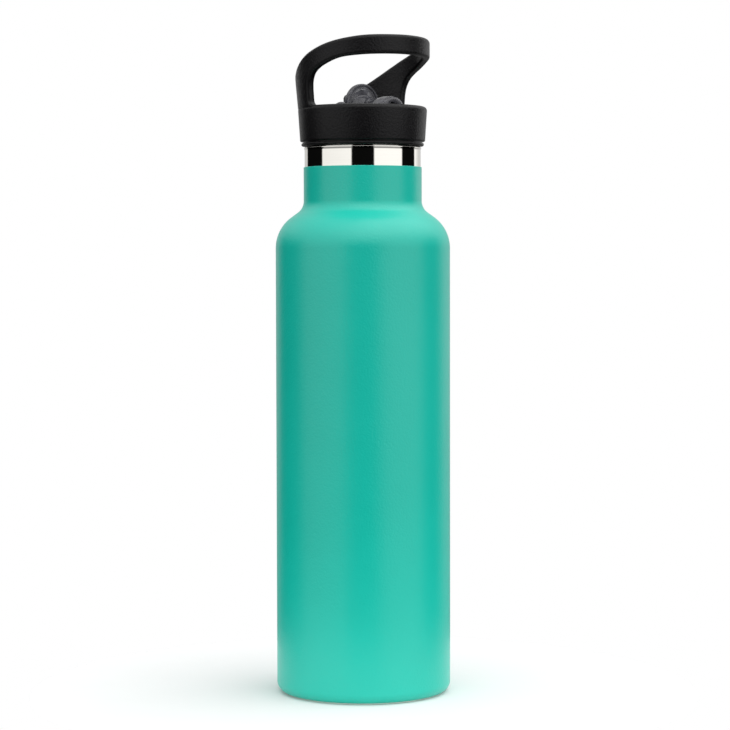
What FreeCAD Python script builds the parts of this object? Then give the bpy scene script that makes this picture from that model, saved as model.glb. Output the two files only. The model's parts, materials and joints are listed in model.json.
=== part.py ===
import FreeCAD, Part
import math
import os
from FreeCAD import Vector

os.makedirs("parts", exist_ok=True)

# Insulated water bottle with a screw lid, a loop handle and a flip spout.
# Millimetres. Z is up, the origin is the centre of the base, the handle's band is
# towards +X, the drinker sits towards -X, and the lid is alike on both sides of Y = 0.

# Body
body_radius = 36.5
neck_radius = 24.7            # over the powder coat
coat_thickness = 0.4
shell_thickness = 0.6
flask_offset = 2.6            # from the coat's face in to the flask, across the vacuum
flask_wall = 0.5
base_corner = 4.5
shoulder_radius = 16.0
neck_fillet = 6.0
shoulder_slope = 36.0         # degrees above level
neck_root = 203.1             # where the shoulder's slope meets the neck's wall
coat_foot = 0.5               # the coat stops this far above the floor
coat_top = 220.2
collar_top = 228.3            # top of the bare steel collar
collar_bead = 0.25            # rolled edge round the collar's top
lip_top = 238.5               # the flask's mouth

# Base
cup_top = 5.5                 # weld line between the base cup and the shell
foot_outer = 33.8
foot_inner = 26.5
foot_ring = 30.5              # from here out the foot is only as deep as coat_foot
recess_radius = 24.5
recess_floor = 2.2
flask_bottom = 6.0
floor_radius = 28.0           # of the disc welded into the flask's bottom
seal_hole = 3.0

# Screw thread, right handed
pitch = 4.0
thread_turns = 1.4
neck_thread_start = 231.4
neck_crest = 23.45
skirt_bore = 23.8
skirt_crest = 22.5

# Lid
liner_bottom = 228.9
liner_lip_top = 230.2
liner_radius = 24.85
liner_lip_radius = 25.6
lid_bottom = 230.8
lid_bottom_radius = 26.1
rim_top = 245.3
rim_radius = 27.05
rim_bore = 24.5
shelf = 241.1                 # the liner's top, on which the deck rests
gasket_seat = 239.9
plug_radius = 21.3
plug_bore = 20.1
plug_bottom = 227.2
plug_floor = 228.6
deck_top = 244.4
deck_radius = 24.4
deck_wall = 1.2

# Handle, a band cut from the lid's own wall carried upwards
handle_radius = 28.1
handle_knee = 259.0           # above this the wall stands straight
handle_thickness = 3.5
handle_root = 244.5
leg_gap = 21.6                # open front between the two legs
window_front = -2.9
edge_round = 1.2

# Spout, lying closed
hinge_x = -5.5
hinge_z = 241.0
hub_radius = 6.5
hub_half = 8.2
disc_radius = 9.0
disc_centre = 246.0
disc_front = 0.85
disc_thickness = 2.5
nozzle_z = 244.2
nozzle_neck = 3.8
nozzle_tip = 4.9
nozzle_end = 19.6
nozzle_wide = 1.3             # width over height
chin_radius = 18.7            # round the lid's axis, where the nozzle's lower lip is cut back
duct_x = -8.0                 # the spout's bore and the straw, with the spout up
duct_radius = 2.6
duct_height = hinge_z - (duct_x - hinge_x)
seal_radius = 4.4
slot_floor = 237.9            # under the nozzle
slot_step = 242.0             # above this the slot may reach over the liner
slot_reach = 19.3
pin_radius = 1.5
pin_play = 0.05
pin_inner = 5.0
pin_outer = 12.6

# Straw
straw_radius = 3.5
straw_wall = 0.8
straw_bottom = 10.0
socket_radius = 5.0
socket_bottom = 222.5
straw_top = 227.0

# Air valve
vent_x = 9.0
vent_y = -10.0
vent_stem = 2.0


def tangent_corner(before, corner, after, radius):
    """Start, middle and end of the arc that rounds a corner."""
    back = (before - corner).normalize()
    ahead = (after - corner).normalize()
    half = back.getAngle(ahead) / 2
    reach = radius / math.tan(half)
    middle_line = (back + ahead).normalize()
    centre = corner + middle_line * (radius / math.sin(half))
    middle = centre - middle_line * radius
    return corner + back * reach, middle, corner + ahead * reach


def outline(points, place):
    """Closed face through corners (u, v) or, rounded, (u, v, radius)."""
    corners = [place(p[0], p[1]) for p in points]
    count = len(points)
    edges = []
    joints = []
    for i, point in enumerate(points):
        if len(point) == 3:
            joints.append(tangent_corner(corners[i - 1], corners[i], corners[(i + 1) % count], point[2]))
        else:
            joints.append((corners[i], None, corners[i]))
    for i, (start, middle, end) in enumerate(joints):
        if middle is not None:
            edges.append(Part.Arc(start, middle, end).toShape())
        following = joints[(i + 1) % count][0]
        if end.distanceToPoint(following) > 1e-6:
            edges.append(Part.LineSegment(end, following).toShape())
    return Part.Face(Part.Wire(edges))


def turned(points):
    """Solid of revolution about Z from (radius, height) corners."""
    face = outline(points, lambda u, v: Vector(u, 0, v))
    return face.revolve(Vector(0, 0, 0), Vector(0, 0, 1), 360)


def box(low, high):
    size = [h - l for l, h in zip(low, high)]
    return Part.makeBox(*size, Vector(*low))


def post(radius, bottom, top, x=0.0, y=0.0):
    return Part.makeCylinder(radius, top - bottom, Vector(x, y, bottom))


def crossbar(radius, start, end, x=hinge_x, z=hinge_z):
    return Part.makeCylinder(radius, end - start, Vector(x, start, z), Vector(0, 1, 0))


def export(shape, node):
    shape = shape.removeSplitter()
    shape.exportStep("parts/%s.step" % node)
    print(node, round(shape.Volume, 1), "mm3", len(shape.Solids), "solid", shape.isValid())
    return shape


# The body's wall, at any depth below the coat's face

def wall_corners(depth):
    """Shoulder corner and neck corner of the wall, with their rounding."""
    slope = math.radians(shoulder_slope)
    drop = depth / math.cos(slope)

    def height(radius):
        return neck_root - (radius - neck_radius) * math.tan(slope) - drop

    body = body_radius - depth
    neck = neck_radius - depth
    return [(body, height(body), shoulder_radius - depth), (neck, height(neck), neck_fillet + depth)]


def make_powder_coat():
    outer = wall_corners(0)
    inner = wall_corners(coat_thickness)
    under = foot_ring - 0.5
    coat = turned(
        [(under, 0), (body_radius, 0, base_corner)] + outer
        + [(neck_radius, coat_top, 0.15), (neck_radius - coat_thickness, coat_top)] + inner[::-1]
        + [(body_radius - coat_thickness, coat_thickness, base_corner - coat_thickness),
           (under, coat_thickness)])
    reach = body_radius + 1
    return coat.cut(box((-reach, -reach, -1), (reach, reach, coat_foot)))


def make_outer_shell():
    depth = coat_thickness + shell_thickness
    outer = wall_corners(coat_thickness)
    inner = wall_corners(depth)
    collar = neck_radius - coat_thickness
    flask_neck = neck_radius - flask_offset
    return turned(
        [(body_radius - coat_thickness, cup_top)] + outer
        + [(collar, collar_top - 1.0), (collar + collar_bead, collar_top - 1.0, 0.2),
           (collar + collar_bead, collar_top, 0.6), (flask_neck, collar_top),
           (flask_neck, collar_top - shell_thickness - 0.2),
           (neck_radius - depth, collar_top - shell_thickness - 0.2)]
        + inner[::-1] + [(body_radius - depth, cup_top)])


def make_base_cup():
    outer = body_radius - coat_thickness
    inner = outer - shell_thickness
    floor = coat_thickness + shell_thickness
    step = recess_floor + shell_thickness
    cup = turned(
        [(outer, cup_top), (outer, coat_thickness, base_corner - coat_thickness),
         (foot_ring, coat_thickness), (foot_ring, 0), (foot_inner, 0, 0.8),
         (recess_radius, recess_floor, 0.8), (seal_hole, recess_floor), (seal_hole, step),
         (recess_radius + 0.5, step, 0.8), (foot_inner + 0.4, floor, 0.8),
         (inner, floor, base_corner - floor), (inner, cup_top)])
    ring = post(foot_outer, 0, coat_foot).cut(post(foot_ring - 1, -1, coat_foot + 1))
    return cup.fuse(ring)


def make_base_disc():
    return turned([(0, 1.5), (23.6, 1.5, 0.3), (23.6, recess_floor), (0, recess_floor)])


def make_vacuum_plug():
    seat = recess_floor + shell_thickness
    return turned([(0, recess_floor), (seal_hole, recess_floor), (seal_hole, seat), (4.4, seat),
                   (4.4, 3.3, 0.3), (2.0, 3.7), (0, 3.7)])


def make_getter_clip():
    return turned([(4.0, 4.0), (6.2, 4.0, 0.4), (6.2, flask_bottom), (5.6, flask_bottom), (5.6, 4.5),
                   (4.0, 4.5)])


def make_getter():
    return turned([(0, 4.5), (5.5, 4.5), (5.5, 5.8, 0.3), (0, 5.8)])


def spiral(start, turns, root, crest, root_width, crest_width):
    """Screw ridge whose root is sunk a little into the wall that carries it."""
    outward = 1 if crest > root else -1
    sunk = root - 0.3 * outward
    ridge_path = Part.makeHelix(pitch, pitch * turns, root)
    half_root = root_width / 2
    half_crest = crest_width / 2
    corners = [(sunk, -half_root), (root, -half_root), (crest, -half_crest), (crest, half_crest),
               (root, half_root), (sunk, half_root)]
    points = [Vector(r, 0, z) for r, z in corners]
    section = Part.makePolygon(points + points[:1])
    sweep = Part.BRepOffsetAPI.MakePipeShell(ridge_path)
    sweep.setFrenetMode(True)
    sweep.add(section)
    sweep.build()
    sweep.makeSolid()
    ridge = sweep.shape()
    ridge.translate(Vector(0, 0, start))
    return ridge


def make_inner_flask():
    outer = wall_corners(flask_offset)
    inner = wall_corners(flask_offset + flask_wall)
    outside = body_radius - flask_offset
    inside = outside - flask_wall
    neck = neck_radius - flask_offset
    flask = turned(
        [(floor_radius, flask_bottom), (outside, flask_bottom, 5.0)] + outer
        + [(neck, lip_top, 0.2), (neck - flask_wall, lip_top, 0.2)] + inner[::-1]
        + [(inside, flask_bottom + flask_wall, 4.5), (floor_radius, flask_bottom + flask_wall)])
    return flask.fuse(spiral(neck_thread_start, thread_turns, neck, neck_crest, 2.0, 1.1))


def make_flask_floor():
    return post(floor_radius, flask_bottom, flask_bottom + flask_wall)


def make_copper_foil():
    inside = body_radius - flask_offset
    return turned([(inside, 14), (inside + 0.1, 14), (inside + 0.1, 182), (inside, 182)])


# Lid

def make_lid_liner():
    skirt = turned(
        [(0, plug_bottom), (plug_radius, plug_bottom, 2.0), (plug_radius, gasket_seat),
         (skirt_bore, gasket_seat), (skirt_bore, liner_bottom), (liner_lip_radius, liner_bottom, 0.6),
         (liner_lip_radius, liner_lip_top, 0.5), (liner_radius, liner_lip_top), (liner_radius, shelf),
         (plug_bore, shelf), (plug_bore, plug_floor), (0, plug_floor)])
    thread_start = neck_thread_start - 0.5 * pitch
    ridge = spiral(thread_start, thread_turns, skirt_bore, skirt_crest, 1.6, 0.9)
    ridge.rotate(Vector(0, 0, 0), Vector(0, 0, 1), 160)
    ridge.translate(Vector(0, 0, pitch * 160 / 360))
    liner = skirt.fuse(ridge)
    liner = liner.cut(post(socket_radius, plug_bottom - 1, plug_floor + 1, duct_x))
    return liner.cut(post(vent_stem, plug_bottom - 1, plug_floor + 1, vent_x, vent_y))


def lid_wall(inset):
    """Solid inside the lid's outer face, or the same drawn in by an inset."""
    return turned([(0, handle_root), (rim_radius - inset - 0.08, handle_root),
                   (handle_radius - inset, handle_knee, 110), (handle_radius - inset, 280), (0, 280)])


def handle_side():
    """Side view of the handle: two broad legs that lean back into one band."""
    top = [(-27.0, 250.1), (-20.9, 255.6), (-14.9, 260.2), (-8.9, 263.9), (-2.1, 267.0),
           (9.0, 270.5), (20.5, 272.8), (30.0, 273.7)]
    window = [(30.0, 265.7), (20.5, 265.0), (12.8, 263.9), (5.4, 261.3), (2.2, 259.8), (0.0, 258.3),
              (-1.5, 256.5), (-2.5, 254.2), (window_front, 251.5)]
    foot = [(window_front, handle_root), (-27.0, handle_root)]

    def place(point):
        return Vector(point[0], -40, point[1])

    upper = Part.BSplineCurve()
    upper.interpolate([place(p) for p in top])
    lower = Part.BSplineCurve()
    lower.interpolate([place(p) for p in window])
    straight = [(top[-1], window[0]), (window[-1], foot[0]), (foot[0], foot[1]), (foot[1], top[0])]
    edges = [upper.toShape(), lower.toShape()]
    edges += [Part.LineSegment(place(a), place(b)).toShape() for a, b in straight]
    return Part.Face(Part.Wire(Part.__sortEdges__(edges))).extrude(Vector(0, 80, 0))


def make_lid_shell():
    shell = turned(
        [(24.9, lid_bottom), (lid_bottom_radius, lid_bottom, 0.5), (rim_radius, rim_top, 1.7),
         (rim_bore, rim_top, 0.7), (rim_bore, shelf), (24.9, shelf)])
    handle = lid_wall(0).cut(lid_wall(handle_thickness)).common(handle_side())
    handle = handle.cut(box((-40, -leg_gap / 2, 240), (-5, leg_gap / 2, 262)))
    rounded = []
    for edge in handle.Edges:
        frame = edge.BoundBox
        lies_level = frame.ZLength < 1e-6
        seam = frame.XLength < 1e-6 and frame.YLength < 1e-6
        if frame.ZMax > rim_top + 1.0 and not lies_level and not seam:
            rounded.append(edge)
    handle = handle.makeFillet(edge_round, rounded)
    return shell.fuse(handle)


def recess(margin):
    """Room for the spout in the lid's top, grown by a margin to give its walls."""
    side = 7.6 + margin
    wing = hub_half + 1.0 + margin
    lid_over = 246.0
    low = box((hinge_x, -side, slot_floor - margin), (slot_reach + margin, side, lid_over))
    low = low.common(post(slot_reach + margin, 220, slot_step))
    high = box((hinge_x, -side, slot_step - margin), (22, side, lid_over))
    high = high.common(post(21.5 + margin, 220, 250))
    well = crossbar(hub_radius + 0.8 + margin, -wing, wing)
    above = box((hinge_x - 7.3 - margin, -wing, hinge_z), (hinge_x + 7.3 + margin, wing, lid_over))
    pocket = post(disc_radius + 0.7 + margin, 243.0 - margin, lid_over, hinge_x - (disc_centre - hinge_z))
    return low.fuse([high, well, above, pocket])


def make_spout_deck():
    plate = post(deck_radius, 243.0, deck_top)
    rim = post(deck_radius, shelf, deck_top).cut(post(deck_radius - 1.4, shelf - 1, deck_top + 1))
    walls = recess(deck_wall)
    below = walls.common(post(plug_bore - 0.1, 230, shelf + 0.01))
    above = walls.common(post(deck_radius - 1.0, shelf, 243.5))
    deck = plate.fuse([rim, below, above]).cut(recess(0))
    deck = deck.cut(post(seal_radius, 228, hinge_z, duct_x))
    deck = deck.cut(crossbar(pin_radius, -pin_outer, pin_outer))
    return deck.cut(post(1.0, 240, 250, vent_x + 3.0, vent_y - 3.0))


def make_hub_seal():
    seal = post(seal_radius, 231.4, hinge_z, duct_x).cut(post(duct_radius, 231, hinge_z + 1, duct_x))
    return seal.cut(crossbar(hub_radius + 0.12, -20, 20))


def make_straw_socket():
    tube = post(socket_radius, socket_bottom, 231.4, duct_x)
    flange = post(6.2, plug_floor, 230.0, duct_x)
    socket = tube.fuse(flange).cut(post(duct_radius, socket_bottom - 1, 232, duct_x))
    return socket.cut(post(straw_radius, socket_bottom - 1, straw_top, duct_x))


def make_straw():
    tube = post(straw_radius, straw_bottom, straw_top, duct_x)
    straw = tube.cut(post(straw_radius - straw_wall, straw_bottom - 1, straw_top + 1, duct_x))
    slant = box((duct_x - 6, -6, straw_bottom - 12), (duct_x + 6, 6, straw_bottom + 1.5))
    slant.rotate(Vector(duct_x - 6, 0, straw_bottom), Vector(0, 1, 0), -20)
    return straw.cut(slant)


def make_vent_valve():
    head = post(3.4, plug_floor, 229.4, vent_x, vent_y)
    stem = post(vent_stem, 225.0, plug_floor, vent_x, vent_y)
    bulb = Part.makeCone(vent_stem + 0.7, 0.8, 2.8, Vector(vent_x, vent_y, plug_bottom), Vector(0, 0, -1))
    return head.fuse([stem, bulb]).cut(post(0.8, 225.6, 231, vent_x, vent_y))


def make_lid_foam():
    foam = post(plug_bore - 0.1, plug_floor, 232.4)
    foam = foam.cut(post(6.2, 228, 233, duct_x))
    return foam.cut(post(3.6, 228, 233, vent_x, vent_y))


def make_lip_gasket():
    return turned([(21.55, lip_top + 0.05), (23.5, lip_top + 0.05, 0.3), (23.5, gasket_seat - 0.05, 0.3),
                   (21.55, gasket_seat - 0.05)])


# Spout

def make_spout():
    hub = crossbar(hub_radius, -hub_half, hub_half)
    disc = Part.makeCylinder(disc_radius, disc_thickness,
                             Vector(disc_front - disc_thickness, 0, disc_centre), Vector(1, 0, 0))
    disc = disc.makeFillet(0.8, disc.Edges[:1] + disc.Edges[2:])
    dome = Part.makeSphere(20.0, Vector(disc_front + 1.4 - 20.0, 0, disc_centre))
    dome = dome.common(box((disc_front - 1, -10, 236), (disc_front + 2, 10, 256)))
    dome = dome.common(Part.makeCylinder(7.4, 6, Vector(disc_front - 2, 0, disc_centre), Vector(1, 0, 0)))
    profile = outline(
        [(disc_front - 1, 0), (disc_front - 1, 6.2), (disc_front + 0.2, 6.2), (5.2, nozzle_neck, 8.0),
         (15.2, nozzle_tip, 5.0), (nozzle_end - 0.9, 4.5, 1.5), (nozzle_end, 3.2, 0.8), (nozzle_end, 0)],
        lambda u, v: Vector(u, 0, v))
    nozzle = profile.revolve(Vector(0, 0, 0), Vector(1, 0, 0), 360)
    stretch = FreeCAD.Matrix()
    stretch.scale(1.0, nozzle_wide, 1.0)
    nozzle = nozzle.transformGeometry(stretch)
    nozzle.translate(Vector(0, 0, nozzle_z))
    chin = box((10, -10, 230), (25, 10, slot_step + 0.4)).cut(post(chin_radius, 225, 250))
    spout = hub.fuse([disc, dome, nozzle.cut(chin)])
    bore = Part.makeCylinder(duct_radius, 40, Vector(-15, 0, duct_height), Vector(1, 0, 0))
    spout = spout.cut(bore)
    return spout.cut(crossbar(pin_radius + pin_play, -hub_half - 1, -pin_inner + 0.2).fuse(
        crossbar(pin_radius + pin_play, pin_inner - 0.2, hub_half + 1)))


def make_hinge_pins():
    return Part.makeCompound([crossbar(pin_radius, pin_inner, pin_outer),
                              crossbar(pin_radius, -pin_outer, -pin_inner)])


makers = {
    "powder_coat": make_powder_coat,
    "outer_shell": make_outer_shell,
    "base_cup": make_base_cup,
    "base_disc": make_base_disc,
    "vacuum_plug": make_vacuum_plug,
    "getter": make_getter,
    "getter_clip": make_getter_clip,
    "inner_flask": make_inner_flask,
    "flask_floor": make_flask_floor,
    "copper_foil": make_copper_foil,
    "lid_shell": make_lid_shell,
    "lid_liner": make_lid_liner,
    "lid_foam": make_lid_foam,
    "spout_deck": make_spout_deck,
    "lip_gasket": make_lip_gasket,
    "hub_seal": make_hub_seal,
    "straw_socket": make_straw_socket,
    "straw": make_straw,
    "vent_valve": make_vent_valve,
    "spout": make_spout,
    "hinge_pins": make_hinge_pins,
}

pieces = {node: export(make(), node) for node, make in makers.items()}
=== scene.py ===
import json
import math
import bpy
import bmesh
from mathutils import Matrix, Vector


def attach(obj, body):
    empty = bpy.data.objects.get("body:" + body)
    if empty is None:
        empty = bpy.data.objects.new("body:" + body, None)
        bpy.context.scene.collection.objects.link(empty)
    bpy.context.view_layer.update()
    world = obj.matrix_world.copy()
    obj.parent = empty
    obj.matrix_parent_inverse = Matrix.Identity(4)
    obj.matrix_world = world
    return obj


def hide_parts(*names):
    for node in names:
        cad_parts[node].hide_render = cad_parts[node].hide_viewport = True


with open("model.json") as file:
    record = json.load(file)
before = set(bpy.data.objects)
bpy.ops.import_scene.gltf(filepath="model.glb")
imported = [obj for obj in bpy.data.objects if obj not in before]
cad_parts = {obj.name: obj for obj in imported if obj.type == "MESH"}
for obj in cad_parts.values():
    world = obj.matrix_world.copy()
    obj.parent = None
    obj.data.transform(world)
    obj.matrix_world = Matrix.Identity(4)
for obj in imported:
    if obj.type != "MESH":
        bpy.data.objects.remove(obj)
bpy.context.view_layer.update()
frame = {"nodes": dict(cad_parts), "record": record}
mm = 0.001
print("frame loaded:", len(frame["nodes"]), "nodes")


# camera, at eye level with the bottle's shoulder

camera = dict(
    azimuth=48.7,      # degrees round the bottle from -Y towards +X
    distance=0.996,
    height=0.184,
    aimHeight=0.1374,
    aimAside=0.0008,   # the bottle stands a hair left of the middle
    lens=117.07,
    roll=-0.12,
)


def setCamera(spec):
    turn = math.radians(spec["azimuth"])
    away = Vector((math.sin(turn), -math.cos(turn), 0))
    right = Vector((math.cos(turn), math.sin(turn), 0))
    place = away * spec["distance"] + Vector((0, 0, spec["height"]))
    aim = right * spec["aimAside"] + Vector((0, 0, spec["aimHeight"]))
    data = bpy.data.cameras.new("camera")
    data.lens = spec["lens"]
    data.sensor_width = 36
    data.clip_start = 0.01
    eye = bpy.data.objects.new("camera", data)
    eye.rotation_mode = "QUATERNION"
    eye.location = place
    tilt = Matrix.Rotation(math.radians(spec["roll"]), 4, "Z").to_quaternion()
    eye.rotation_quaternion = (aim - place).to_track_quat("-Z", "Y") @ tilt
    bpy.context.scene.collection.objects.link(eye)
    bpy.context.scene.camera = eye


setCamera(camera)
bpy.context.scene.view_settings.view_transform = "Standard"
print("camera set")


# shader nodes

class Field:  # a socket that takes part in sums
    def __init__(self, shader, socket):
        self.shader = shader
        self.socket = socket

    def maths(self, operation, *values):
        return self.shader.node("ShaderNodeMath", dict(operation=operation), *values)

    def __add__(self, other):
        return self.maths("ADD", self, other)

    def __mul__(self, other):
        return self.maths("MULTIPLY", self, other)

    def __sub__(self, other):
        return self.maths("SUBTRACT", self, other)

    def __rsub__(self, other):
        return self.maths("SUBTRACT", other, self)

    __radd__ = __add__
    __rmul__ = __mul__

    def step(self, low, high):  # 0 below low, 1 above high, smooth between
        settings = dict(interpolation_type="SMOOTHSTEP")
        return self.shader.node("ShaderNodeMapRange", settings, self, low, high)


class Shader:
    def __init__(self, tree):
        self.tree = tree
        tree.nodes.clear()

    def node(self, kind, settings=None, *values, out=0, **named):
        made = self.tree.nodes.new(kind)
        for key, value in (settings or {}).items():
            setattr(made, key, value)
        for key, value in list(enumerate(values)) + list(named.items()):
            if value is None:
                continue
            socket = made.inputs[key.replace("_", " ") if isinstance(key, str) else key]
            if isinstance(value, Field):
                self.tree.links.new(value.socket, socket)
            else:
                socket.default_value = value
        return Field(self, made.outputs[out]) if len(made.outputs) else None


def material(name, build, **fixed):
    made = bpy.data.materials.new(name)
    made.use_nodes = True
    shader = Shader(made.node_tree)
    place = shader.node("ShaderNodeTexCoord", out=3)
    surface = shader.node("ShaderNodeBsdfPrincipled", None, **fixed, **build(shader, place))
    shader.node("ShaderNodeOutputMaterial", None, surface)
    return made


def noise(shader, place, scale, detail):
    return shader.node("ShaderNodeTexNoise", None, place, None, scale, detail, 0.5)


def blendColour(shader, amount, first, second):
    settings = dict(data_type="RGBA")
    unusedSockets = [None] * 5  # the Mix node's number and vector sockets
    return shader.node("ShaderNodeMix", settings, amount, *unusedSockets, rgba(*first), rgba(*second), out=2)


def bump(shader, height, strength, distance):
    return shader.node("ShaderNodeBump", None, strength, distance, Height=height)


def rgba(red, green, blue):
    return (red, green, blue, 1.0)


coatLook = dict(
    deep=(0.003, 0.530, 0.415), pale=(0.005, 0.555, 0.437), cloudEdges=(0.3, 0.7),
    cloud=18, grain=1150, peel=520,  # noise scales, larger for finer
    grainHeight=0.8, peelHeight=0.4, bump=0.6, depth=0.00016, roughness=0.27, roughGrain=0.12,
)


def coatFinish(shader, place):
    look = coatLook
    grain = noise(shader, place, look["grain"], 2)
    peel = noise(shader, place, look["peel"], 2)
    cloud = noise(shader, place, look["cloud"], 3)
    height = grain * look["grainHeight"] + peel * look["peelHeight"]
    return dict(Base_Color=blendColour(shader, cloud.step(*look["cloudEdges"]), look["deep"], look["pale"]),
                Roughness=grain * look["roughGrain"] + look["roughness"],
                Normal=bump(shader, height, look["bump"], look["depth"]))


blackLook = dict(
    deep=(0.0024, 0.0022, 0.0028), pale=(0.0040, 0.0037, 0.0044), cloudEdges=(0.3, 0.7),
    cloud=60, grain=1250, bump=0.9, depth=0.0002, roughness=0.28, roughGrain=0.18,
)


def blackFinish(shader, place):
    look = blackLook
    grain = noise(shader, place, look["grain"], 3)
    cloud = noise(shader, place, look["cloud"], 2)
    return dict(Base_Color=blendColour(shader, cloud.step(*look["cloudEdges"]), look["deep"], look["pale"]),
                Roughness=grain * look["roughGrain"] + look["roughness"],
                Normal=bump(shader, grain, look["bump"], look["depth"]))


steelLook = dict(
    deep=(0.82, 0.80, 0.745), pale=(0.87, 0.85, 0.80),
    stretch=(30, 30, 2600),  # fine lines round the bottle from polishing
    roughness=0.03, roughLines=0.04,
)


def steelFinish(shader, place):
    look = steelLook
    thin = shader.node("ShaderNodeMapping", None, place, Scale=look["stretch"])
    lines = noise(shader, thin, 1.0, 2)
    return dict(Base_Color=blendColour(shader, lines, look["deep"], look["pale"]),
                Roughness=lines * look["roughLines"] + look["roughness"])


smokyLookPaintedHighlights = dict(
    # colour cloud: partly random tone, partly painted highlight streaks where the cloud turns pale
    deep=(0.10, 0.10, 0.115), pale=(0.24, 0.24, 0.27), cloudEdges=(0.42, 0.62),
    cloud=110, speck=800, speckHeight=0.3, bump=0.08, depth=0.0004, roughness=0.03, roughCloud=0.10,
)


def smokyFinishPaintedHighlights(shader, place):
    look = smokyLookPaintedHighlights
    cloud = noise(shader, place, look["cloud"], 3)
    speck = noise(shader, place, look["speck"], 2)
    # painted highlight streaks: the cloud's pale patches lighten the base colour
    return dict(Base_Color=blendColour(shader, cloud.step(*look["cloudEdges"]), look["deep"], look["pale"]),
                Roughness=cloud * look["roughCloud"] + look["roughness"],
                Normal=bump(shader, cloud + speck * look["speckHeight"], look["bump"], look["depth"]))


softLook = dict(cloud=220, roughness=0.35, roughCloud=0.2, bump=0.15, depth=0.0002)


def softFinish(pale, deep):  # small inner parts, which differ in colour only
    def build(shader, place):
        look = softLook
        cloud = noise(shader, place, look["cloud"], 3)
        return dict(Base_Color=blendColour(shader, cloud, deep, pale),
                    Roughness=cloud * look["roughCloud"] + look["roughness"],
                    Normal=bump(shader, cloud, look["bump"], look["depth"]))
    return build


finishes = {
    "powder_coat": material("tealPowderCoat", coatFinish, Specular_IOR_Level=0.58),
    "steel": material("polishedSteel", steelFinish, Metallic=1.0),
    "black_plastic": material("blackMoulding", blackFinish, Specular_IOR_Level=0.24),
    "smoky_plastic": material("smokyMouldingWithPaintedHighlights", smokyFinishPaintedHighlights, Transmission_Weight=0.55, IOR=1.46),
    "silicone": material("siliconeRubber", softFinish((0.62, 0.63, 0.63), (0.50, 0.51, 0.52)),
                         Transmission_Weight=0.25),
    "clear_straw": material("clearTube", softFinish((0.86, 0.88, 0.90), (0.78, 0.80, 0.82)),
                            Transmission_Weight=0.8),
    "foam": material("whiteFoam", softFinish((0.80, 0.80, 0.78), (0.66, 0.66, 0.64))),
    "copper": material("copperFoil", softFinish((0.78, 0.40, 0.24), (0.66, 0.31, 0.18)), Metallic=1.0),
    "sealing_glass": material("sealingBead", softFinish((0.10, 0.12, 0.12), (0.06, 0.07, 0.07))),
    "getter_metal": material("getterPowder", softFinish((0.24, 0.24, 0.25), (0.12, 0.12, 0.13)),
                             Metallic=0.6),
}
for part in frame["record"]["subparts"]:
    node = frame["nodes"][part["node"]]
    node.data.materials.clear()
    node.data.materials.append(finishes[part["material_slot"]])
print("finishes made:", len(finishes))


# mesh helpers, in millimetres until the piece is finished

def roundedLine(corners, closed, arcSteps):  # corners are (radius, height) or (radius, height, rounding)
    points = []
    count = len(corners)
    for i, corner in enumerate(corners):
        here = Vector(corner[:2])
        inner = closed or 0 < i < count - 1
        if len(corner) < 3 or not inner:
            points.append(here)
            continue
        back = (Vector(corners[i - 1][:2]) - here).normalized()
        ahead = (Vector(corners[(i + 1) % count][:2]) - here).normalized()
        half = back.angle(ahead) / 2
        centre = here + (back + ahead).normalized() * (corner[2] / math.sin(half))
        start = here + back * (corner[2] / math.tan(half)) - centre
        sweep = start.angle_signed(here + ahead * (corner[2] / math.tan(half)) - centre)
        for k in range(arcSteps + 1):
            turn = -sweep * k / arcSteps
            points.append(centre + Matrix.Rotation(turn, 2) @ start)
    return points


joinGap = 2e-4  # points nearer than this are one


def finishMesh(bm, name, slotName, body, replaced, sharp=35):
    bmesh.ops.remove_doubles(bm, verts=bm.verts, dist=joinGap)
    bmesh.ops.dissolve_degenerate(bm, dist=joinGap / 20, edges=bm.edges)
    bmesh.ops.recalc_face_normals(bm, faces=bm.faces)
    bmesh.ops.scale(bm, vec=(mm, mm, mm), verts=bm.verts)
    mesh = bpy.data.meshes.new(name)
    bm.to_mesh(mesh)
    bm.free()
    for face in mesh.polygons:
        face.use_smooth = True
    mesh.set_sharp_from_angle(angle=math.radians(sharp))
    mesh.materials.append(finishes[slotName])
    piece = bpy.data.objects.new(name, mesh)
    bpy.context.scene.collection.objects.link(piece)
    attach(piece, body)
    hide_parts(replaced)


def spinLine(bm, points, closed, steps, axis="Z", centre=(0, 0, 0)):
    made = []
    for radius, along in points:
        places = dict(X=(along, 0, radius), Y=(0, along, radius), Z=(radius, 0, along))
        made.append(bm.verts.new(Vector(places[axis]) + Vector(centre)))
    pairs = list(zip(made, made[1:])) + ([(made[-1], made[0])] if closed else [])
    edges = [bm.edges.new(pair) for pair in pairs]
    direction = dict(X=(1, 0, 0), Y=(0, 1, 0), Z=(0, 0, 1))[axis]
    bmesh.ops.spin(bm, geom=made + edges, cent=centre, axis=direction, angle=2 * math.pi, steps=steps,
                   use_merge=True)


def spun(name, spec, slotName, body, replaced):
    bm = bmesh.new()
    closed = spec.get("closed", True)
    line = roundedLine(spec["corners"], closed, spec["arcSteps"])
    spinLine(bm, line, closed, spec["steps"])
    if "trimBelow" in spec:
        everything = bm.verts[:] + bm.edges[:] + bm.faces[:]
        bmesh.ops.bisect_plane(bm, geom=everything, plane_co=(0, 0, spec["trimBelow"]),
                               plane_no=(0, 0, 1), clear_inner=True)
        bmesh.ops.bridge_loops(bm, edges=[edge for edge in bm.edges if edge.is_boundary])
    finishMesh(bm, name, slotName, body, replaced)


# the body's wall at any depth under the coat's face, as the frame has it

wall = dict(body=36.5, neck=24.7, slope=36.0, neckRoot=203.1, shoulder=16.0, neckFillet=6.0)


def wallCorners(depth):
    slope = math.radians(wall["slope"])
    corners = []
    for radius, rounding in ((wall["body"] - depth, wall["shoulder"] - depth),
                             (wall["neck"] - depth, wall["neckFillet"] + depth)):
        rise = (radius - wall["neck"]) * math.tan(slope) + depth / math.cos(slope)
        corners.append((radius, wall["neckRoot"] - rise, rounding))
    return corners


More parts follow.
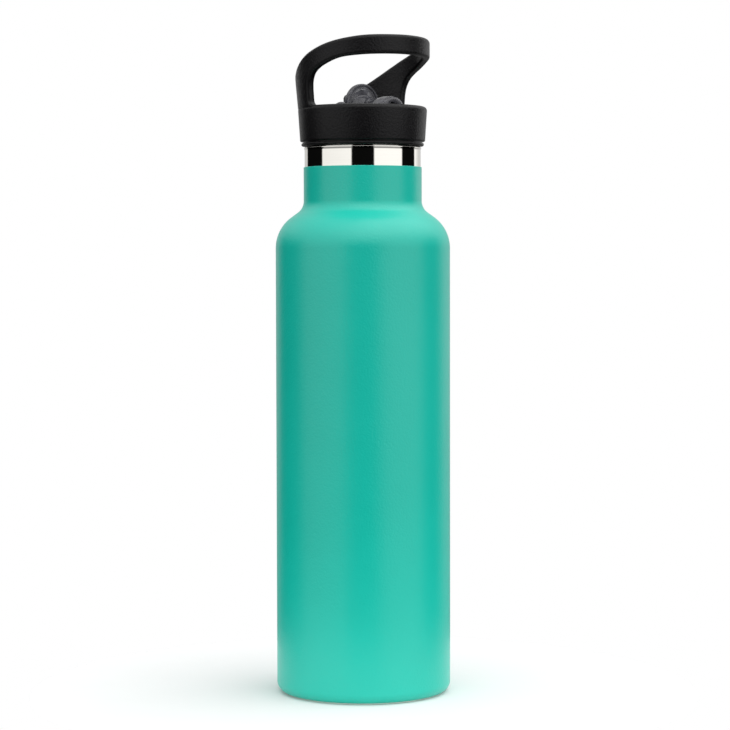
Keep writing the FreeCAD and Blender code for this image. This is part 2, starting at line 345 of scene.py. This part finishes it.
coat = dict(
    steps=192, arcSteps=20, trimBelow=0.5,
    corners=[(30.0, 0), (36.5, 0, 4.5)] + wallCorners(0) + [(24.7, 220.2, 0.2), (24.3, 220.2)]
    + wallCorners(0.4)[::-1] + [(36.1, 0.4, 4.1), (30.0, 0.4)],
)
spun("coat", coat, "powder_coat", "bottle", "powder_coat")

collar = dict(  # outer wall, bare above the coat, with a rolled bead round its top
    steps=192, arcSteps=12,
    corners=[(36.08, 5.5)] + wallCorners(0.42) + [
        (24.28, 227.14), (24.28, 227.2),  # a close pair, which keeps the wall's mirror image straight
        (24.54, 227.9, 0.3), (24.54, 228.3, 0.2),
        (22.1, 228.3), (22.1, 227.5), (23.7, 227.5)]
    + wallCorners(1.0)[::-1] + [(35.5, 5.5)],
)
spun("steelShell", collar, "steel", "bottle", "outer_shell")

baseCup = dict(
    steps=160, arcSteps=8,
    corners=[(36.08, 5.5), (36.08, 0.42, 4.08), (31.9, 0.42), (33.8, 0.48), (33.8, 0, 0.15), (26.5, 0, 0.8),
             (24.5, 2.2, 0.8), (3.0, 2.2), (3.0, 2.8), (25.0, 2.8, 0.8), (26.9, 1.0, 0.8), (35.5, 1.0, 3.5),
             (35.5, 5.5)],
)
spun("baseCup", baseCup, "steel", "bottle", "base_cup")

baseDisc = dict(
    steps=128, arcSteps=8, closed=False,
    corners=[(0, 1.5), (23.6, 1.5, 0.3), (23.6, 2.2), (0, 2.2)],
)
spun("baseDisc", baseDisc, "steel", "bottle", "base_disc")
print("body made")


# flask with its screw thread

flask = dict(
    steps=160, arcSteps=10, rise=4.0, turns=1.4, start=231.4,
    corners=[(28.05, 6.0), (33.9, 6.0, 5.0)] + wallCorners(2.6) + [(22.1, 238.5, 0.22), (21.6, 238.5, 0.22)]
    + wallCorners(3.1)[::-1] + [(33.4, 6.5, 4.5), (28.05, 6.5)],
    ridge=[(21.9, -1.1), (22.1, -1.0, 0.1), (23.4, -0.55, 0.25), (23.4, 0.55, 0.25), (22.1, 1.0, 0.1),
           (21.9, 1.1)],
    twist=0, stepsPerTurn=96,
)


def addRidge(bm, spec):  # one screw thread ridge
    before = set(bm.verts)
    line = roundedLine(spec["ridge"], True, 3)
    made = [bm.verts.new((radius, 0, height + spec["start"])) for radius, height in line]
    edges = [bm.edges.new((made[i - 1], made[i])) for i in range(len(made))]
    bm.faces.new(made)
    steps = round(spec["stepsPerTurn"] * spec["turns"])
    turned = bmesh.ops.spin(bm, geom=made + edges, cent=(0, 0, 0), axis=(0, 0, 1),
                            dvec=(0, 0, spec["rise"] * spec["turns"] / steps),
                            angle=2 * math.pi * spec["turns"], steps=steps)
    ends = [part for part in turned["geom_last"] if isinstance(part, bmesh.types.BMEdge)]
    bmesh.ops.edgeloop_fill(bm, edges=ends)
    bmesh.ops.rotate(bm, verts=[v for v in bm.verts if v not in before], cent=(0, 0, 0),
                     matrix=Matrix.Rotation(math.radians(spec["twist"]), 3, "Z"))


bm = bmesh.new()
spinLine(bm, roundedLine(flask["corners"], True, flask["arcSteps"]), True, flask["steps"])
addRidge(bm, flask)
finishMesh(bm, "innerFlask", "steel", "bottle", "inner_flask")
print("flask made")


# lid: ring and handle

cap = dict(
    steps=192, arcSteps=10,
    corners=[(24.88, 230.8), (26.1, 230.8, 0.55), (27.05, 245.3, 1.7), (24.5, 245.3, 0.7), (24.5, 241.12),
             (24.88, 241.12)],
)

handle = dict(
    rimRadius=26.98, radius=28.1, rootHeight=244.5, knee=259.0, thickness=3.5, edge=1.25,
    top=[(28.1, 273.48), (20.5, 272.8), (9.0, 270.5), (-2.1, 267.0), (-8.9, 263.9), (-14.9, 260.2),
         (-20.9, 255.6), (-27.2, 250.0)],
    straighten=0.7,          # share of the rise after which the wall turns upright
    window=[(28.1, 265.6), (20.5, 265.0), (12.8, 263.9), (5.4, 261.3), (2.2, 259.8), (0.0, 258.3),
            (-1.5, 256.5), (-2.5, 254.2), (-2.9, 251.5)],
    windowFront=-2.9, windowFlare=2.0, windowLift=1.5,
    foot=245.3, buried=244.45,  # where the legs meet the rim, and how low they reach into it
    legStart=2.6,            # the band ends and the legs begin at this X
    frontHalf=10.8, frontTop=250.4, frontFlare=1.2, frontRadius=27.3, frontLean=0.004,
    cornerRise=1.2, cornerGap=0.04, cornerRadius=28,
    bandStations=44, legStations=34, flareSteps=8, frontSteps=6, across=14, round=5,
)


def lidRadius(height):  # outer face of lid and handle
    rise = (height - handle["rootHeight"]) / (handle["knee"] - handle["rootHeight"])
    slope = min(max(rise, 0), 1)
    rest = 1 - handle["straighten"]
    eased = slope - 0.5 * max(0, slope - handle["straighten"]) ** 2 / rest
    return handle["rimRadius"] + (handle["radius"] - handle["rimRadius"]) * eased / (1 - rest / 2)


def curvePoints(points, perSpan=14):  # smooth line through given points
    ends = [points[0] * 2 - points[1]] + points + [points[-1] * 2 - points[-2]]
    line = []
    for before, start, end, after in zip(ends, ends[1:], ends[2:], ends[3:]):
        for k in range(perSpan):
            t = k / perSpan
            square = 2 * before - 5 * start + 4 * end - after
            cube = 3 * start - before - 3 * end + after
            line.append(0.5 * (2 * start + (end - before) * t + square * t * t + cube * t ** 3))
    return line + [points[-1]]


def heightAt(line, x):
    for a, b in zip(line, line[1:]):
        if b.x <= x <= a.x:
            return a.y + (b.y - a.y) * (a.x - x) / max(a.x - b.x, 1e-9)
    return line[0].y if x > line[0].x else line[-1].y


def onWall(x, height):  # angle round the lid of a side-view point
    return math.acos(max(-1.0, min(1.0, x / lidRadius(height))))


def resample(line, count):  # evenly spaced points along (angle, height)
    radius = handle["radius"]
    spans = [math.hypot((b[0] - a[0]) * radius, b[1] - a[1]) for a, b in zip(line, line[1:])]
    total = sum(spans)
    result = []
    for k in range(count + 1):
        want = total * k / count
        i = 0
        while i < len(spans) - 1 and want > spans[i]:
            want -= spans[i]
            i += 1
        t = want / spans[i]
        result.append(tuple(a + (b - a) * t for a, b in zip(line[i], line[i + 1])))
    return result


def handleStations(spec):  # pairs of (angle, height): lower and upper edge of the strip
    top = curvePoints([Vector(p) for p in spec["top"]])
    window = curvePoints([Vector(p) for p in spec["window"]])
    bandEnd = math.acos(spec["legStart"] / spec["radius"])
    stations = []
    for k in range(spec["bandStations"]):
        angle = bandEnd * k / spec["bandStations"]
        x = spec["radius"] * math.cos(angle)
        stations.append(((angle, heightAt(window, x)), (angle, heightAt(top, x))))
    foot = spec["foot"]

    inner = [(onWall(p.x, p.y), p.y) for p in window if p.x <= spec["legStart"]]
    flare = spec["windowFlare"]
    height = foot + flare + spec["windowLift"]
    inner.append((onWall(spec["windowFront"], height), height))
    for k in range(spec["flareSteps"] + 1):
        turn = math.pi / 2 * k / spec["flareSteps"]
        height = foot + flare * (1 - math.sin(turn))
        inner.append((onWall(spec["windowFront"] + flare * (1 - math.cos(turn)), height), height))
    inner.append((inner[-1][0], spec["buried"]))

    outer = [(onWall(p.x, p.y), p.y) for p in top if p.x <= spec["legStart"]]
    frontAngle = math.pi - math.asin(spec["frontHalf"] / spec["frontRadius"])
    outer = [p for p in outer if p[0] < frontAngle - spec["cornerGap"]]
    scale = spec["cornerRadius"]  # brings heights to the size of angles
    start = Vector((outer[-1][0], outer[-1][1] / scale))
    end = Vector((frontAngle, spec["frontTop"] / scale))
    pull = Vector((frontAngle + spec["frontLean"], (spec["frontTop"] + spec["cornerRise"]) / scale))
    for k in range(1, 9):  # rounded front corner
        t = k / 8
        bend = start * (1 - t) ** 2 + pull * 2 * t * (1 - t) + end * t ** 2
        outer.append((bend.x, bend.y * scale))
    flare = spec["frontFlare"]
    for k in range(spec["frontSteps"] + 1):
        turn = math.pi / 2 * k / spec["frontSteps"]
        height = foot + flare * (1 - math.sin(turn))
        outer.append((frontAngle + flare * (1 - math.cos(turn)) / spec["frontRadius"], height))
    outer.append((outer[-1][0], spec["buried"]))

    count = spec["legStations"]
    return stations + list(zip(resample(inner, count), resample(outer, count)))


def sectionRing(spec, low, high):  # closed ring of points round the strip between two edge points
    width = math.hypot((high[0] - low[0]) * spec["radius"], high[1] - low[1])
    thick = spec["thickness"]
    edge = spec["edge"]
    flat = [edge + (width - 2 * edge) * k / spec["across"] for k in range(spec["across"] + 1)]
    corners = []
    for k in range(1, spec["round"]):
        turn = math.pi / 2 * k / spec["round"]
        corners.append((edge * (1 - math.sin(turn)), edge * (1 - math.cos(turn))))
    ring = [(v, 0) for v in flat]
    ring += [(width - shift, depth) for shift, depth in corners]
    ring += [(width, edge), (width, thick / 2), (width, thick - edge)]
    ring += [(width - shift, thick - depth) for shift, depth in reversed(corners)]
    ring += [(v, thick) for v in reversed(flat)]
    ring += [(shift, thick - depth) for shift, depth in corners]
    ring += [(0, thick - edge), (0, thick / 2), (0, edge)]
    ring += [(shift, depth) for shift, depth in reversed(corners)]
    points = []
    for along, depth in ring:
        t = along / width
        angle = low[0] + (high[0] - low[0]) * t
        height = low[1] + (high[1] - low[1]) * t
        radius = lidRadius(height) - depth
        points.append(Vector((radius * math.cos(angle), radius * math.sin(angle), height)))
    return points


def addHandle(bm, spec):
    stations = handleStations(spec)
    half = [sectionRing(spec, low, high) for low, high in stations]
    other = [[Vector((p.x, -p.y, p.z)) for p in ring] for ring in half[1:]]
    rings = other[::-1] + half
    made = [bm.verts.new(p) for p in rings[0]]
    edges = [bm.edges.new((made[i - 1], made[i])) for i in range(len(made))]
    bmesh.ops.edgeloop_fill(bm, edges=edges)
    for ring in rings[1:]:
        grown = bmesh.ops.extrude_edge_only(bm, edges=edges)["geom"]
        fresh = {v for v in grown if isinstance(v, bmesh.types.BMVert)}
        # each new vertex is joined to the one it grew from
        made = [next(e.other_vert(v) for e in v.link_edges if e.other_vert(v) in fresh) for v in made]
        for vert, place in zip(made, ring):
            vert.co = place
        grownEdges = [part for part in grown if isinstance(part, bmesh.types.BMEdge)]
        edges = [e for e in grownEdges if all(v in fresh for v in e.verts)]
    bmesh.ops.edgeloop_fill(bm, edges=edges)


bm = bmesh.new()
spinLine(bm, roundedLine(cap["corners"], True, cap["arcSteps"]), True, cap["steps"])
addHandle(bm, handle)
finishMesh(bm, "capShell", "black_plastic", "lid", "lid_shell", sharp=40)
print("lid made")

liner = dict(
    steps=160, arcSteps=8, rise=4.0, turns=1.4, start=231.18, twist=160, stepsPerTurn=96,
    corners=[(13.2, 227.2), (21.3, 227.2, 2.0), (21.3, 239.9), (23.8, 239.9), (23.8, 228.9, 0.3),
             (25.6, 228.9, 0.6), (25.6, 230.2, 0.5), (24.85, 230.2), (24.85, 241.1), (20.1, 241.1),
             (20.1, 228.6), (13.2, 228.6)],
    ridge=[(24.0, -0.9), (23.8, -0.8, 0.08), (22.5, -0.45, 0.2), (22.5, 0.45, 0.2), (23.8, 0.8, 0.08),
           (24.0, 0.9)],
)
bm = bmesh.new()
spinLine(bm, roundedLine(liner["corners"], True, liner["arcSteps"]), True, liner["steps"])
addRidge(bm, liner)
finishMesh(bm, "capLiner", "black_plastic", "lid", "lid_liner")


# spout, lying closed

spout = dict(
    hinge=(-5.5, 241.0), disc=246.0, nozzle=244.2, widen=1.3, chin=18.4, chinTop=242.4,
    hub=[(0, -8.2), (6.5, -8.2, 0.9), (6.5, 8.2, 0.9), (0, 8.2)],
    plate=[(0, -1.65), (9.0, -1.65, 0.8), (9.0, 0.85, 0.6), (8.0, 0.85, 0.25), (7.8, 0.35, 0.25),
           (6.9, 0.35, 0.3), (6.6, 0.6, 0.3), (3.6, 1.7, 5.0), (0, 2.0)],
    tube=[(0, 0), (6.0, 0), (5.9, 1.1, 0.5), (3.8, 5.4, 6.0), (4.9, 15.2, 5.0), (4.7, 18.9, 1.1),
          (3.4, 19.58, 0.5), (2.1, 19.3, 0.4), (2.1, 12.0, 1.0), (0, 11.0)],
    voxel=0.2, smoothing=4,
)


def unite(name, shapes, voxel, smoothing):  # melts overlapping shapes into one skin
    base = bpy.data.meshes.new(name)
    bm = bmesh.new()
    for shape in shapes:
        shape(bm)
    bmesh.ops.remove_doubles(bm, verts=bm.verts, dist=joinGap / 2)
    bmesh.ops.recalc_face_normals(bm, faces=bm.faces)
    bm.to_mesh(base)
    bm.free()
    lump = bpy.data.objects.new(name, base)
    bpy.context.scene.collection.objects.link(lump)
    remesh = lump.modifiers.new("skin", "REMESH")
    remesh.mode = "VOXEL"
    remesh.voxel_size = voxel
    relax = lump.modifiers.new("relax", "SMOOTH")
    relax.factor = 0.5
    relax.iterations = smoothing
    solid = bpy.data.meshes.new_from_object(lump.evaluated_get(bpy.context.evaluated_depsgraph_get()))
    bpy.data.objects.remove(lump)
    bm = bmesh.new()
    bm.from_mesh(solid)
    return bm


def addHub(bm):
    x, z = spout["hinge"]
    spinLine(bm, roundedLine(spout["hub"], False, 6), False, 64, "Y", (x, 0, z))


def addPlate(bm):
    spinLine(bm, roundedLine(spout["plate"], False, 6), False, 96, "X", (0, 0, spout["disc"]))


def addTube(bm):
    before = set(bm.verts)
    spinLine(bm, roundedLine(spout["tube"], False, 8), False, 64, "X", (0, 0, spout["nozzle"]))
    fresh = [v for v in bm.verts if v not in before]
    bmesh.ops.scale(bm, vec=(1, spout["widen"], 1), verts=fresh)
    for vert in fresh:  # the lower lip is cut back, to clear the deck
        if vert.co.z < spout["chinTop"]:
            vert.co.x = min(vert.co.x, spout["chin"])


bm = unite("spoutLump", [addHub, addPlate, addTube], spout["voxel"], spout["smoothing"])
finishMesh(bm, "flipSpout", "smoky_plastic", "spout", "spout", sharp=60)
print("spout made")


# floor and light

stage = dict(
    floor=(0.84, 0.84, 0.84), floorPale=(0.86, 0.86, 0.86), radius=0.14,
    world=1.2, dark=0.003, under=0.3, behind=0.62, behindFrom=(122, 150),
    gaps=[(-142, -87), (-22, 22.7), (84.2, 124.6)],  # dark strips, in degrees rightwards from the viewer
    gapTop=(0.12, 0.48), soft=1.5, underFrom=(-0.25, 0.0),
    ceiling=0.95, ceilingStart=(0.35, 0.75), ceilingSide=62, leftLoss=0.16,
)


def floorFinish(shader, place):
    paper = noise(shader, place, 40, 2)
    return dict(Base_Color=blendColour(shader, paper, stage["floor"], stage["floorPale"]),
                Roughness=paper * 0.05 + 0.88)


def makeFloor(spec):
    bm = bmesh.new()
    bmesh.ops.create_circle(bm, cap_ends=True, segments=96, radius=spec["radius"])
    mesh = bpy.data.meshes.new("floor")
    bm.to_mesh(mesh)
    bm.free()
    floor = bpy.data.objects.new("floor", mesh)
    bpy.context.scene.collection.objects.link(floor)
    mesh.materials.append(material("paleFloor", floorFinish, Specular_IOR_Level=0.2))


def makeWorld(spec):  # a white tent with dark strips, which the polished collar mirrors
    world = bpy.data.worlds.new("tent")
    bpy.context.scene.world = world
    world.use_nodes = True
    shader = Shader(world.node_tree)
    direction = shader.node("ShaderNodeTexCoord", out=0)
    turned = shader.node("ShaderNodeMapping", dict(vector_type="POINT"), direction,
                         Rotation=(0, 0, math.radians(90 - camera["azimuth"])))
    x, y, z = (shader.node("ShaderNodeSeparateXYZ", None, turned, out=axis) for axis in range(3))
    side = shader.node("ShaderNodeMath", dict(operation="ARCTAN2"), y, x) * (180 / math.pi)
    soft = spec["soft"]
    gaps = 0
    for low, high in spec["gaps"]:
        gaps = side.step(low - soft, low + soft) * (1 - side.step(high - soft, high + soft)) + gaps
    shade = gaps * (1 - z.step(*spec["gapTop"]))
    light = blendColour(shader, shade, (1, 1, 1), [spec["dark"]] * 3)
    toward = (side - spec["ceilingSide"]) * (math.pi / 180)
    facing = shader.node("ShaderNodeMath", dict(operation="COSINE"), toward) * 0.5 + 0.5
    strength = (z.step(*spec["ceilingStart"]) * facing * spec["ceiling"] + 1) * spec["world"]
    strength = strength * (z.step(*spec["underFrom"]) * (1 - spec["under"]) + spec["under"])
    strength = strength * (1 - (1 - facing) * spec["leftLoss"])
    beside = shader.node("ShaderNodeMath", dict(operation="ABSOLUTE"), side)
    strength = strength * (1 - beside.step(*spec["behindFrom"]) * (1 - spec["behind"]))
    tent = shader.node("ShaderNodeBackground", None, light, strength)
    plain = shader.node("ShaderNodeBackground", None, rgba(1, 1, 1), 1.0)
    seen = shader.node("ShaderNodeLightPath")
    sky = shader.node("ShaderNodeMixShader", None, seen, tent, plain)  # seen directly it is plain white
    shader.node("ShaderNodeOutputWorld", None, sky)


makeFloor(stage)
makeWorld(stage)
print("stage made")
